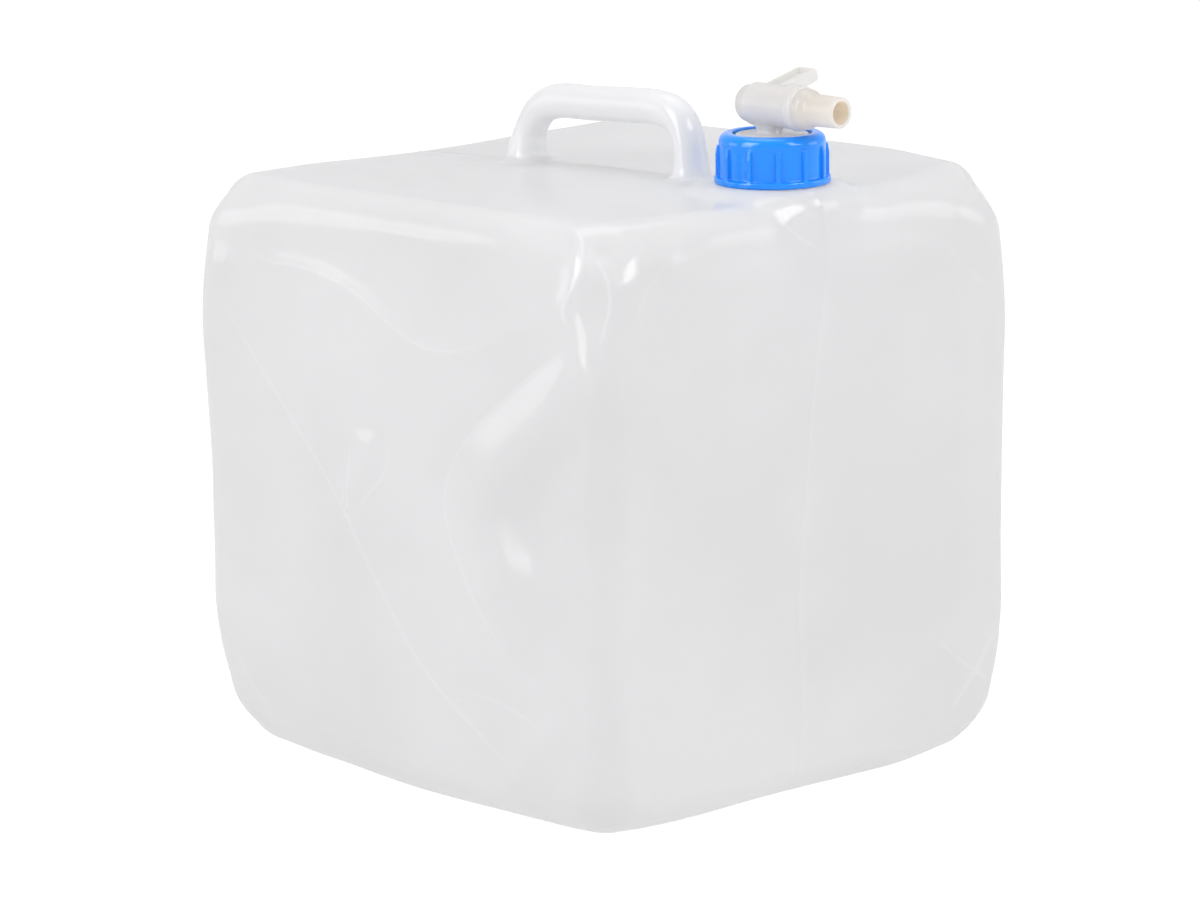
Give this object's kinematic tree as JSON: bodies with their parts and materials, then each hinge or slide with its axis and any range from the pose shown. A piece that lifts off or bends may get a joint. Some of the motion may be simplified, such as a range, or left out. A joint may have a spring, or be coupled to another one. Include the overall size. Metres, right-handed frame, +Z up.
{
  "type": "collapsible water container",
  "caption": "Soft cube-shaped collapsible water container with a moulded carrying loop, a threaded neck, a ring cap and a lever tap.",
  "frame": {"origin": "middle of the flat base, on the surface that the container stands on", "axes": "+Z up, +X from the middle towards the edge that has the neck, with the carrying loop along X"},
  "size_m": [0.3068, 0.296, 0.3487],
  "materials": {
    "film": "milky glossy soft film",
    "seal": "pale soft rubber",
    "cap": "glossy blue moulded plastic",
    "tap": "natural translucent moulded plastic",
    "plug": "satin ivory moulded plastic"
  },
  "bodies": {
    "base": {"container_walls": "film"},
    "top": {"container_top": "film"},
    "closure": {"cap_seal": "seal"},
    "ring": {"cap_ring": "cap"},
    "tap": {"tap_body": "tap"},
    "plug": {"tap_plug": "plug"}
  },
  "joints": [
    {"name": "collapse", "type": "slide", "parent": "base", "child": "top", "axis": [0, 0, 1], "range_m": [-0.165, 0], "deforming": ["container_walls"]},
    {"name": "cap_lift", "type": "slide", "parent": "top", "child": "closure", "axis": [0, -0.0244, 0.9997], "range_m": [0, 0.0126]},
    {"name": "cap_turn", "type": "hinge", "parent": "closure", "child": "ring", "pos_m": [0.1142, 0, 0.292], "axis": [0, -0.0244, 0.9997], "range_deg": [0, 900]},
    {"name": "tap_swivel", "type": "hinge", "parent": "closure", "child": "tap", "pos_m": [0.1142, 0, 0.292], "axis": [0, -0.0244, 0.9997], "continuous": true},
    {"name": "lever_turn", "type": "hinge", "parent": "tap", "child": "plug", "pos_m": [0.1142, -0.00103, 0.33429], "axis": [1, 0, 0], "range_deg": [0, 90]}
  ],
  "couplings": [
    {"joint": "cap_lift", "follows": "cap_turn", "m_per_rad": 0.00079577}
  ]
}
